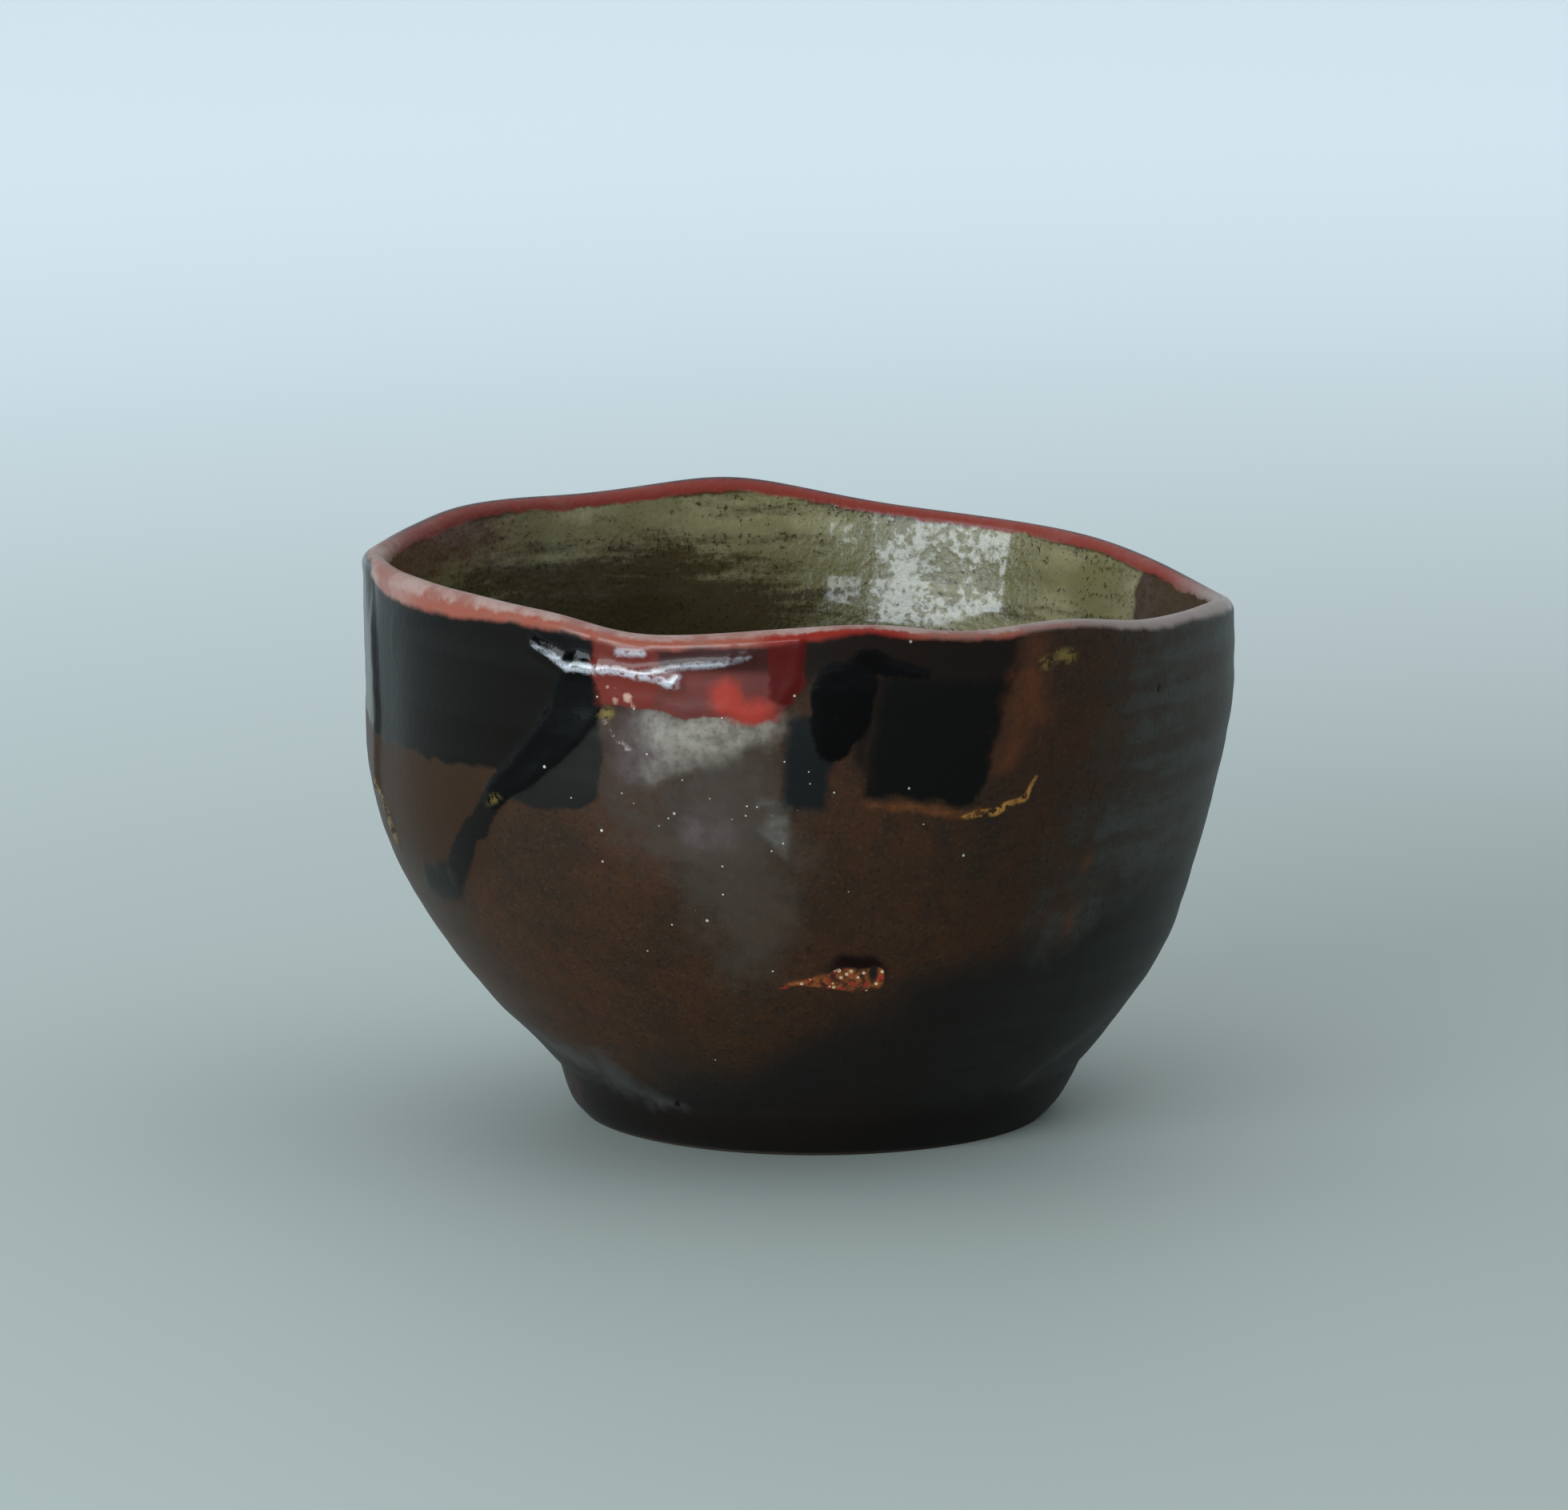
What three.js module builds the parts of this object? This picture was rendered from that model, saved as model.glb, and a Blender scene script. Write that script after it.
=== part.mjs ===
import * as THREE from 'three';
import { mergeVertices } from 'three/addons/utils/BufferGeometryUtils.js';

// A tea bowl of glazed stoneware: one fired piece, turned first and then set out of round by hand.
// Sizes are millimetres, with Z up and the foot standing on Z = 0.
// Angles are degrees round the bowl: 0 is the front (-Y), 90 is the right (+X), 180 is the back.

// The lip, before the hand marks below
const rim = {
  radius: 61.4, // to the outside
  height: 77.4, // mean height of its rounded top
  thickness: 3.4,
};

// The whole rim slopes: it stands this much over its mean height on its high side
const rimSlope = { angle: -69, rise: 2.85 };

// Swells and dips along the lip, each fading over its own spread of degrees
const rimSwells = [
  { angle: 8, rise: 1.35, spread: 10.5 },
  { angle: 36, rise: 1.6, spread: 11 },
  { angle: -21, rise: -1.7, spread: 11.5 },
  { angle: 190, rise: 3.2, spread: 16 },
  { angle: 229, rise: 1.4, spread: 21 },
  { angle: 256, rise: -1.5, spread: 18 },
  { angle: 107, rise: -3.4, spread: 25 },
];

// Out of round at the rim: how many lobes, how far each stands out, and where the first one is
const rimLobes = [
  { count: 2, reach: 0.3, angle: 13 },
  { count: 3, reach: 0.35, angle: 22 },
];

// The wall between the foot and the lip
const wall = {
  fullness: 2.9, // power of its swelling curve: more makes a rounder hip
  thickness: 7, // at the level of the inside floor
  thinning: 4, // power of its thinning curve: more keeps it thick until close under the lip
  bow: -2.3, // the middle of the wall bulges to the left by this
  bowLevel: 0.5, // share of the wall's height where it bulges most
  bowSpread: 0.25,
  lean: -2, // the rim's centre stands to the left of the foot's by this
};

// The turned foot ring and the recess inside it
const foot = {
  radius: 33.5, // where it meets the table
  height: 7.5,
  flare: 3.4, // it widens by this up to the wall
  flareCurve: 0.75,
  skew: 0.7, // more flare on the right, less on the left
  skewFade: 5,
  groove: 1, // the wall is pinched in over the foot, deepest on the left
  grooveLift: 2, // middle of the groove over the foot's top
  grooveWidth: 4,
  ringWidth: 7,
  recess: 4.8,
  edge: 0.8, // broken edges of the ring
};

// The inside
const well = {
  floor: 6, // clay left over the recess
  curve: 18, // height of the rounded turn from floor to wall
};

// Fineness of the faceted solid
const steps = { around: 80, foot: 3, wall: 17, lip: 6, inside: 17 };

const lipRadius = rim.thickness / 2;
const lipCentre = rim.height - lipRadius;
const waist = foot.radius + foot.flare;
const floorLevel = foot.recess + well.floor;

const share = (value, low, high) => Math.min(Math.max((value - low) / (high - low), 0), 1);
const bell = (distance, spread) => Math.exp(-((distance / spread) ** 2));
const turn = (degrees) => THREE.MathUtils.degToRad(degrees);

// Shortest way round between two angles, in degrees
const apart = (a, b) => THREE.MathUtils.euclideanModulo(a - b + 180, 360) - 180;

// The wall's outside radius at a height, swelling from the waist over the foot to the rim
function outsideRadius(height) {
  const up = share(height, foot.height, lipCentre);
  return waist + (rim.radius - waist) * (1 - (1 - up) ** wall.fullness);
}

// The inside follows the outside at the wall's own thickness and turns into a round floor
function insideRadius(height) {
  const up = share(height, floorLevel, lipCentre);
  const thickness = THREE.MathUtils.lerp(wall.thickness, rim.thickness, up ** wall.thinning);
  const round = share(height, floorLevel, floorLevel + well.curve);
  return (outsideRadius(height) - thickness) * Math.sqrt(1 - (1 - round) ** 2);
}

// The section of the bowl, from the middle of its underside round to the middle of its floor
function section() {
  const points = [];
  const add = (radius, height) => points.push(new THREE.Vector2(radius, height));
  const ringInside = foot.radius - foot.ringWidth;

  add(0, foot.recess);
  add(ringInside - foot.edge, foot.recess);
  add(ringInside, foot.recess - foot.edge);
  add(ringInside, foot.edge);
  add(ringInside + foot.edge, 0);
  add(foot.radius - foot.edge, 0);
  for (let i = 0; i < steps.foot; i++) {
    const up = i / steps.foot;
    const height = THREE.MathUtils.lerp(foot.edge, foot.height, up);
    add(foot.radius + foot.flare * up ** foot.flareCurve, height);
  }
  for (let i = 0; i < steps.wall; i++) {
    const height = THREE.MathUtils.lerp(foot.height, lipCentre, (i / steps.wall) ** 1.25);
    add(outsideRadius(height), height);
  }
  for (let i = 0; i <= steps.lip; i++) {
    const around = (Math.PI * i) / steps.lip;
    const middle = rim.radius - lipRadius;
    add(middle + lipRadius * Math.cos(around), lipCentre + lipRadius * Math.sin(around));
  }
  for (let i = steps.inside - 1; i >= 0; i--) {
    const height = THREE.MathUtils.lerp(floorLevel, lipCentre, (i / steps.inside) ** 1.6);
    add(insideRadius(height), height);
  }
  return points;
}

// How far the lip stands over or under its mean height
function rimRise(angle) {
  const slope = rimSlope.rise * Math.cos(turn(angle - rimSlope.angle));
  return rimSwells.reduce((sum, swell) => sum + swell.rise * bell(apart(angle, swell.angle), swell.spread), slope);
}

// How far the lip stands outside or inside a true circle
function rimReach(angle) {
  return rimLobes.reduce((sum, lobe) => sum + lobe.reach * Math.cos(turn(lobe.count * (angle - lobe.angle))), 0);
}

// The foot widens unevenly, and the groove over it fades out to the right
function footReach(angle, height) {
  const right = Math.sin(turn(angle));
  const over = height - foot.height;
  const fade = over < 0 ? height / foot.height : bell(over, foot.skewFade);
  const groove = foot.groove * bell(over - foot.grooveLift, foot.grooveWidth) * (1 - right) / 2;
  return foot.skew * right * fade - groove;
}

// Moves a point of the turned form to where the hand left it. The rim moves in full, the foot stays.
function setByHand(point) {
  const radius = Math.hypot(point.x, point.y);
  const angle = THREE.MathUtils.radToDeg(Math.atan2(point.x, -point.y));
  const up = share(point.z, foot.height, rim.height);
  const out = radius / rim.radius;
  const overFoot = radius >= foot.radius;
  const reach = up * out * rimReach(angle) + (overFoot ? footReach(angle, point.z) : 0);
  const bow = wall.bow * bell(up - wall.bowLevel, wall.bowSpread);
  const bowAtFoot = wall.bow * bell(wall.bowLevel, wall.bowSpread);
  const stretch = radius > 0 ? (radius + reach) / radius : 1;
  point.x = point.x * stretch + wall.lean * up + bow - bowAtFoot;
  point.y = point.y * stretch;
  point.z += rimRise(angle) * up * out * out;
}

function bowlGeometry() {
  const turned = new THREE.LatheGeometry(section(), steps.around);
  turned.rotateX(Math.PI / 2);
  turned.deleteAttribute('normal');
  turned.deleteAttribute('uv');
  const geometry = mergeVertices(turned);
  const position = geometry.getAttribute('position');
  const point = new THREE.Vector3();
  for (let i = 0; i < position.count; i++) {
    point.fromBufferAttribute(position, i);
    setByHand(point);
    position.setXYZ(i, point.x, point.y, point.z);
  }
  geometry.computeBoundingBox();
  const middle = geometry.boundingBox.getCenter(new THREE.Vector3());
  geometry.translate(-middle.x, -middle.y, 0);
  geometry.computeVertexNormals();
  return geometry;
}

const darkGlaze = new THREE.MeshStandardMaterial({ color: 0x33231c, roughness: 0.3, metalness: 0 });

const bowl = new THREE.Mesh(bowlGeometry(), darkGlaze);
bowl.name = 'bowl';

const teaBowl = new THREE.Group();
teaBowl.add(bowl);

export default teaBowl;
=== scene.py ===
from math import cos, pi, radians, sin

import bpy
import numpy as np
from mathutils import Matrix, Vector


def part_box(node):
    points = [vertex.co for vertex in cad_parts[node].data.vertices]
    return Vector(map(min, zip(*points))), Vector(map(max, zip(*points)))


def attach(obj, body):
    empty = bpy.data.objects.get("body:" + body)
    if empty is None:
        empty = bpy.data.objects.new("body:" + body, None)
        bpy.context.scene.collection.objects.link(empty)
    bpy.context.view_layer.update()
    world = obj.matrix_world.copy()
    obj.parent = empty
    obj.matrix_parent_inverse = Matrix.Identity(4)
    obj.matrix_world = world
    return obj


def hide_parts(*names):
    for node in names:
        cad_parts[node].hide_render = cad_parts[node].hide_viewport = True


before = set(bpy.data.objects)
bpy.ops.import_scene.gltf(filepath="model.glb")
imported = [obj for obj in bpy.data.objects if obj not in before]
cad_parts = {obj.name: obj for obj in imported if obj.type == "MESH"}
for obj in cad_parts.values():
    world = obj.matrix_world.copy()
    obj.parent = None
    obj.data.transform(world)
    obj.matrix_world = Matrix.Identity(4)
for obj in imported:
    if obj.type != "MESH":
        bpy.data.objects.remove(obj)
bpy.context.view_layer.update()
print("frame loaded")

mm = 0.001
# mm: places round the bowl are measured along a circle of this radius, from the front to the right
gauge = 60

# The photograph's frame, and how its camera stood
photo = {
    "width": 1960,
    "height": 1887,
    "aim": (0.75, 0, 38),  # mm: a place on the bowl's axis
    "aimAt": (1005, 1050),  # where it shows
    "mmPerPixel": 0.1127,
    "elevation": 11.3,
    "distance": 1500,  # mm from the lens to that place
    "sensor": 36,
}

# The turned form in mm, as the solid has it
form = {
    "rimRadius": 61.4,
    "rimHeight": 77.4,
    "lip": 3.4,
    "fullness": 2.9,
    "thickness": 7,
    "thinning": 4,
    "footRadius": 33.5,
    "footHeight": 7.5,
    "flare": 3.4,
    "flareCurve": 0.75,
    "ringWidth": 7,
    "recess": 4.8,
    "edge": 0.8,
    "floor": 6,
    "wellCurve": 18,
}

# What the hand did to it: angles in degrees from the front, reaches in mm
hand = {
    "slope": (-69, 2.85),
    "swells": [
        (8, 1.35, 10.5),
        (36, 1.6, 11),
        (-21, -1.7, 11.5),
        (190, 3.2, 16),
        (229, 1.4, 21),
        (256, -1.5, 18),
        (107, -3.4, 25),
    ],
    "lobes": [(2, 0.3, 13), (3, 0.35, 22)],
    "bow": (-2.3, 0.5, 0.25),
    "lean": -2,
    "skew": (0.7, 5),
    "groove": (1, 2, 4),
}

# Columns of faces round the bowl, closer together by "frontward" degrees towards the front,
# and rows along each stretch of its section, closer together low down by the power of a curve
fineness = {
    "around": 520,
    "frontward": 24,
    "recess": 5,
    "corner": 2,
    "ring": 4,
    "foot": 9,
    "wall": 100,
    "wallCurve": 1.1,
    "lip": 14,
    "inside": 44,
    "insideCurve": 1.4,
}

footTop = form["footHeight"]
lipRadius = form["lip"] / 2
lipCentre = form["rimHeight"] - lipRadius
waist = form["footRadius"] + form["flare"]
floorLevel = form["recess"] + form["floor"]


def share(value, low, high):
    return np.clip((value - low) / (high - low), 0, 1)


def bell(distance, spread):
    return np.exp(-((distance / spread) ** 2))


def apart(a, b):
    return (a - b + 180) % 360 - 180


def outsideRadius(height):
    up = share(height, footTop, lipCentre)
    return waist + (form["rimRadius"] - waist) * (1 - (1 - up) ** form["fullness"])


def insideRadius(height):
    up = share(height, floorLevel, lipCentre)
    thickness = form["thickness"] + (form["lip"] - form["thickness"]) * up ** form["thinning"]
    turned = share(height, floorLevel, floorLevel + form["wellCurve"])
    return (outsideRadius(height) - thickness) * np.sqrt(1 - (1 - turned) ** 2)


# Radius and height along the section, from the middle of the underside to that of the floor inside
def section():
    edge, ringInside = form["edge"], form["footRadius"] - form["ringWidth"]
    stretches = ("recess", "corner", "ring", "foot", "wall", "lip")
    steps = {name: np.linspace(0, 1, fineness[name], endpoint=False) for name in stretches}
    runs = []

    def straight(start, end, step):
        runs.append([a + (b - a) * step for a, b in zip(start, end)])

    straight((0, form["recess"]), (ringInside - edge, form["recess"]), steps["recess"])
    straight((ringInside - edge, form["recess"]), (ringInside, form["recess"] - edge), steps["corner"])
    straight((ringInside, form["recess"] - edge), (ringInside, edge), steps["corner"])
    straight((ringInside, edge), (ringInside + edge, 0), steps["corner"])
    straight((ringInside + edge, 0), (form["footRadius"] - edge, 0), steps["ring"])
    straight((form["footRadius"] - edge, 0), (form["footRadius"], edge), steps["corner"])
    up = steps["foot"]
    flare = form["flare"] * up ** form["flareCurve"]
    runs.append([form["footRadius"] + flare, edge + up * (footTop - edge)])
    height = footTop + steps["wall"] ** fineness["wallCurve"] * (lipCentre - footTop)
    runs.append([outsideRadius(height), height])
    turned = pi * steps["lip"]
    middle = form["rimRadius"] - lipRadius
    runs.append([middle + lipRadius * np.cos(turned), lipCentre + lipRadius * np.sin(turned)])
    down = np.linspace(1, 0, fineness["inside"]) ** fineness["insideCurve"]
    height = floorLevel + down * (lipCentre - floorLevel)
    runs.append([insideRadius(height), height])
    return np.concatenate([run[0] for run in runs]), np.concatenate([run[1] for run in runs])


def rimRise(angle):
    at, rise = hand["slope"]
    swells = [rise * bell(apart(angle, at), spread) for at, rise, spread in hand["swells"]]
    return rise * np.cos(np.radians(angle - at)) + sum(swells)


def rimReach(angle):
    return sum(reach * np.cos(np.radians(count * (angle - at))) for count, reach, at in hand["lobes"])


def footReach(angle, height):
    right = np.sin(np.radians(angle))
    over = height - footTop
    skew, skewFade = hand["skew"]
    groove, lift, width = hand["groove"]
    fade = np.where(over < 0, height / footTop, bell(over, skewFade))
    return skew * right * fade - groove * bell(over - lift, width) * (1 - right) / 2


# Moves the turned form to where the hand left it, as the solid's own source does
def setByHand(radius, angle, height):
    up = share(height, footTop, form["rimHeight"])
    out = radius / form["rimRadius"]
    overFoot = radius >= form["footRadius"]
    radius = radius + up * out * rimReach(angle) + np.where(overFoot, footReach(angle, height), 0)
    bow, level, spread = hand["bow"]
    across = hand["lean"] * up + bow * (bell(up - level, spread) - bell(level, spread))
    turned = np.radians(angle)
    x, y = radius * np.sin(turned) + across, -radius * np.cos(turned)
    return np.stack([x, y, height + rimRise(angle) * up * out**2], -1)


# A node socket that Python's own operators work on
class Sock:
    def __init__(self, glaze, socket):
        self.glaze, self.socket = glaze, socket

    def maths(self, operation, *values):
        return self.glaze.node("Math", {"operation": operation}, dict(enumerate(values)))

    def __add__(self, other):
        return self.maths("ADD", self, other)

    def __radd__(self, other):
        return self.maths("ADD", other, self)

    def __sub__(self, other):
        return self.maths("SUBTRACT", self, other)

    def __rsub__(self, other):
        return self.maths("SUBTRACT", other, self)

    def __mul__(self, other):
        return self.maths("MULTIPLY", self, other)

    def __rmul__(self, other):
        return self.maths("MULTIPLY", other, self)

    def __truediv__(self, other):
        return self.maths("DIVIDE", self, other)

    def __neg__(self):
        return self.maths("MULTIPLY", self, -1)


def most(a, b):
    return a.maths("MAXIMUM", a, b)


# 0 before start and 1 after end, smooth between; start may be the greater
def fade(value, start, end):
    if isinstance(value, Sock):
        settings = {"interpolation_type": "SMOOTHSTEP"}
        sockets = {"Value": value, "From Min": start, "From Max": end}
        return value.glaze.node("MapRange", settings, sockets)
    t = np.clip((value - start) / (end - start), 0, 1)
    return t * t * (3 - 2 * t)


# How far places lie outside a convex outline, in mm; less than 0 within it
def outsideOf(round, up, corners):
    corners = np.array(corners, float)
    ahead = np.roll(corners, -1, 0)
    way = np.sign(np.sum(corners[:, 0] * ahead[:, 1] - ahead[:, 0] * corners[:, 1]))
    edges = way * (ahead - corners) / np.hypot(*(ahead - corners).T)[:, None]
    sides = [(round - x) * dy - (up - y) * dx for (x, y), (dx, dy) in zip(corners, edges)]
    return np.max(sides, axis=0)


# The same for a ribbon laid along points (mm round, mm up, half width)
def outsideOfRibbon(round, up, points):
    far = np.inf
    for (x0, y0, w0), (x1, y1, w1) in zip(points, points[1:]):
        dx, dy = x1 - x0, y1 - y0
        along = np.clip(((round - x0) * dx + (up - y0) * dy) / (dx * dx + dy * dy), 0, 1)
        away = np.hypot(round - x0 - dx * along, up - y0 - dy * along)
        far = np.minimum(far, away - w0 - (w1 - w0) * along)
    return far


# The same for an oval: its middle, its two half sizes and its turn in degrees
def outsideOfOval(round, up, middle, halves, turn):
    c, s = cos(radians(turn)), sin(radians(turn))
    x, y = round - middle[0], up - middle[1]
    return (np.hypot((x * c + y * s) / halves[0], (y * c - x * s) / halves[1]) - 1) * min(halves)


# A mark is made of outlines, ribbons and ovals together
def outsideOfMark(round, up, mark):
    parts = [outsideOf(round, up, corners) for corners in mark.get("outlines", [])]
    parts += [outsideOfRibbon(round, up, points) for points in mark.get("ribbons", [])]
    parts += [outsideOfOval(round, up, *oval) for oval in mark.get("ovals", [])]
    return np.min(parts, axis=0)


# The glazes poured and brushed over the brown one outside, and the sheen, reflections and shade painted
# on it. Points are mm round from the front, or from "centre" degrees, and mm up. "soft" is how wide an
# edge fades and "rise" how thick the coat stands, both in mm, "share" is how much it covers, and "skin"
# how it is broken up
marks = {
    "warmPatch": {
        "outlines": [[(-80, 56), (-76, 40), (-66, 34), (-48, 42), (-44, 57)]],
        "colour": (0.024, 0.01, 0.0035),
        "soft": 5,
        "share": 0.8,
    },
    # painted sheen on the brown glaze of the front: grey-brown patches that stand in for the window's
    # soft reflection
    "paintedSheen": {
        "ovals": [((-8.5, 48), (8, 17), 3)],
        "colour": (0.056, 0.046, 0.037),
        "soft": 9,
        "share": 0.5,
    },
    # more painted sheen, wider and cloudy, higher up
    "paintedSheenWash": {
        "ovals": [((-16, 57), (13, 11), 0)],
        "colour": (0.056, 0.045, 0.038),
        "soft": 8,
        "share": 0.45,
        "skin": "cloudy",
    },
    # a purple-grey haze at the left of the sheen, partly glaze and partly painted sheen
    "purpleHazeAndSheen": {
        "ovals": [((-20.5, 63), (6, 4.6), 30), ((-13.5, 51.8), (3, 1.8), -20)],
        "colour": (0.09, 0.07, 0.072),
        "soft": 5,
        "share": 0.6,
        "skin": "cloudy",
    },
    # painted highlight: the bright middle of the window's sheen under the red
    "paintedHighlight": {
        "ovals": [
            ((-14.2, 64.4), (6.2, 3.6), 0),
            ((-8.6, 65.4), (4.8, 2.4), 0),
            ((-16.2, 61.8), (3, 2), 30),
        ],
        "colour": (0.255, 0.225, 0.188),
        "soft": 5,
        "share": 0.8,
        "skin": "cloudy",
    },
    # painted sheen along the right edge of the sheen, and a painted highlight along the short crease
    "paintedSheenEdge": {
        "outlines": [[(-5.4, 51), (-3.4, 53.2), (-0.8, 53.4), (-1.8, 47.4)]],
        "ribbons": [[(-4.6, 54.8, 0.3), (-0.6, 54.6, 0.3)]],
        "colour": (0.12, 0.115, 0.105),
        "soft": 1.8,
        "share": 0.6,
        "skin": "cloudy",
    },
    "ochreRidges": {
        "ribbons": [[(-80, 49.5, 0.8), (-77.8, 45.5, 1.1), (-76.8, 41, 0.8)]],
        "colour": (0.17, 0.13, 0.055),
        "soft": 1.4,
        "share": 0.7,
        "skin": "broken",
    },
    "footTinge": {
        "ovals": [((-76, 4.5), (9, 2.2), 0)],
        "colour": (0.045, 0.016, 0.016),
        "soft": 3,
        "share": 0.6,
        "skin": "broken",
    },
    # painted reflection of the bright floor: a grey band in the hollow over the foot on the left, and a
    # streak low on the right
    "paintedFootReflection": {
        "ribbons": [
            [
                (-66, 12.6, 0.8), (-50, 10.8, 2), (-43, 9, 2.2),
                (-35, 7.6, 0.8), (-29, 6.8, -1), (-20, 6, -2.4),
            ],
            [(74, 17.5, 0.4), (61, 13, 1.2), (54, 9, 0.3)],
        ],
        "colour": (0.056, 0.06, 0.057),
        "soft": 5,
        "share": 0.6,
    },
    "charcoalLeft": {
        "outlines": [
            [
                (-96, 80), (-92, 58), (-80, 56), (-69, 54.8),
                (-55, 55.8), (-44, 55.4), (-29, 70), (-29, 80),
            ],
        ],
        "colour": (0.003, 0.0022, 0.0013),
        "soft": 0.9,
        "rise": 0.06,
        "rough": 0.2,
    },
    "charcoalMiddle": {
        "outlines": [[(-43, 52.3), (-35, 52.6), (-28.4, 53.8), (-28, 67.5), (-32, 66)]],
        "colour": (0.0085, 0.0082, 0.007),
        "soft": 0.9,
        "rise": 0.06,
        "rough": 0.3,
    },
    "charcoalRight": {
        "outlines": [[(10.2, 72.5), (9.8, 55.6), (24.9, 54.4), (26.2, 59), (28.4, 63.3), (30, 73)]],
        "colour": (0.0024, 0.0024, 0.0019),
        "soft": 1.1,
        "rise": 0.08,
        "rough": 0.22,
    },
    "blueGrey": {
        "outlines": [[(-1.6, 67), (-1.6, 54.4), (4, 54), (6, 67)]],
        "colour": (0.0062, 0.0072, 0.0076),
        "soft": 1.8,
        "rise": 0.03,
        "rough": 0.3,
    },
    # painted shade under the lip to the right of the red, and down the gap beside the drip
    "paintedShadeUnderLip": {
        "outlines": [
            [(8, 80), (10, 72), (30, 71.4), (31, 80)],
            [(0.6, 80), (0.8, 72), (10, 72), (12, 80)],
            [(7, 73), (11, 73), (10.6, 57), (8, 60)],
        ],
        "colour": (0.0075, 0.0042, 0.003),
        "soft": 2.2,
    },
    "blackUnderLip": {
        "outlines": [[(-39, 80), (-38, 73.4), (-25.5, 73.6), (-25.5, 80)]],
        "ribbons": [[(-71.5, 70, 0.4), (-70.6, 74.4, 0.7), (-62, 74.8, 0.8), (-54.5, 75.8, 0.5)]],
        "colour": (0.002, 0.0016, 0.0016),
        "soft": 0.7,
        "rise": 0.05,
        "rough": 0.12,
    },
    "bandEnd": {
        "outlines": [
            [(-55.6, 41.2), (-57.6, 36.8), (-62.7, 35.1), (-69.2, 34.6), (-68.4, 39), (-59.5, 42)],
        ],
        "colour": (0.0065, 0.0055, 0.0045),
        "soft": 1.6,
        "rise": 0.1,
    },
    "bandTail": {
        "ribbons": [[(-45.2, 52.4, 1.9), (-52, 46, 1.9), (-57.5, 40.4, 2)]],
        "colour": (0.0042, 0.0032, 0.0026),
        "soft": 0.8,
        "rise": 0.06,
        "rough": 0.2,
    },
    "band": {
        "ribbons": [
            [
                (-30.3, 72, 2.6), (-31.2, 67, 3.5), (-35.2, 61.6, 2.7),
                (-41.5, 56.2, 2.3), (-45.8, 51.8, 1.9),
            ],
        ],
        "colour": (0.0006, 0.0006, 0.0006),
        "soft": 0.5,
        "rise": 0.2,
        "rough": 0.1,
    },
    "red": {
        "outlines": [
            [(-28.2, 72.4), (-27.6, 67.8), (-19.2, 67.6), (-19.2, 80), (-28.2, 80)],
            [(-20.6, 80), (-20.6, 67.8), (-16.2, 66.5), (-13.8, 66.5), (-8.8, 67.3), (-8.8, 80)],
            [
                (-10.2, 80), (-10.2, 67.4), (-6.3, 66.3), (-3.4, 66.4),
                (-1.7, 68.8), (0.7, 71.6), (0.9, 80),
            ],
        ],
        "soft": 0.5,
        "rise": 0.24,
        "rough": 0.16,
        "gloss": 0.05,
    },
    "oxblood": {
        "outlines": [[(-28.2, 80), (-28.2, 67.9), (-20, 67.8), (-19, 72), (-20, 80)]],
        "colour": (0.13, 0.018, 0.012),
        "soft": 1.2,
        "share": 0.75,
    },
    "deepRed": {
        "outlines": [[(-4.4, 80), (-3.9, 69.4), (-1.6, 68.6), (0.8, 71.6), (1, 80)]],
        "colour": (0.06, 0.0035, 0.0028),
        "soft": 1,
    },
    "vermilion": {
        "ovals": [((-9.7, 70), (2.4, 3), 18), ((-6.6, 67.9), (3.4, 1.8), -8)],
        "colour": (0.27, 0.03, 0.02),
        "soft": 1.9,
    },
    "creamBubbles": {
        "ovals": [
            ((-25.5, 68.3), (0.6, 0.5), 0),
            ((-23.2, 69), (0.75, 0.7), 0),
            ((-26.6, 70.4), (0.3, 0.3), 0),
            ((-22.4, 67.9), (0.3, 0.3), 0),
            ((-25.2, 70), (0.25, 0.25), 0),
        ],
        "colour": (0.42, 0.26, 0.19),
        "soft": 0.4,
        "skin": "cloudy",
    },
    "creamStreak": {
        "ribbons": [[(-27.2, 65.4, 0.3), (-25.7, 63.2, 0.15), (-24.2, 61.9, 0.3), (-23.4, 61.4, 0.4)]],
        "colour": (0.34, 0.3, 0.27),
        "soft": 0.6,
        "skin": "broken",
        "share": 0.85,
    },
    "drip": {
        "outlines": [
            [
                (0.9, 70.4), (1.4, 65), (2.6, 61.8), (4.7, 60.4), (7, 60.9),
                (8.8, 63.8), (10, 67.5), (10.4, 73), (8, 75.6), (4.4, 75),
            ],
        ],
        "ribbons": [[(9, 75.2, 1.1), (12.5, 73.4, 1.5), (17, 72.6, 0.7)]],
        "colour": (0.0006, 0.0001, 0.0003),
        "soft": 0.8,
        "rise": 0.1,
        "rough": 0.1,
    },
    "flare": {
        "ribbons": [[(33, 74.5, 1.6), (31.8, 70.7, 2.6), (30.8, 66, 2), (29, 60.5, 1.4)]],
        "colour": (0.1, 0.03, 0.011),
        "soft": 5,
        "share": 0.75,
        "skin": "cloudy",
    },
    "orangeLine": {
        "ribbons": [[(9.8, 54.7, 0.2), (17.6, 53.9, 0.35), (24.6, 53.2, 0.3)]],
        "colour": (0.13, 0.042, 0.013),
        "soft": 1.3,
        "share": 0.85,
    },
    "goldStreak": {
        "ribbons": [
            [
                (22.5, 53.1, 0.3), (27.4, 53, 0.7), (30.3, 53.4, 0.45),
                (32.2, 54.3, 0.45), (33.8, 57.2, 0.25),
            ],
        ],
        "colour": (0.38, 0.175, 0.04),
        "soft": 0.6,
        "skin": "broken",
        "rise": 0.12,
        "rough": 0.2,
    },
    "oliveSpots": {
        "ovals": [
            ((-26.9, 66.5), (1.1, 0.9), 0),
            ((-45.6, 51.5), (1.3, 0.6), 20),
            ((34.7, 72.9), (1.3, 0.9), 0),
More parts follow.
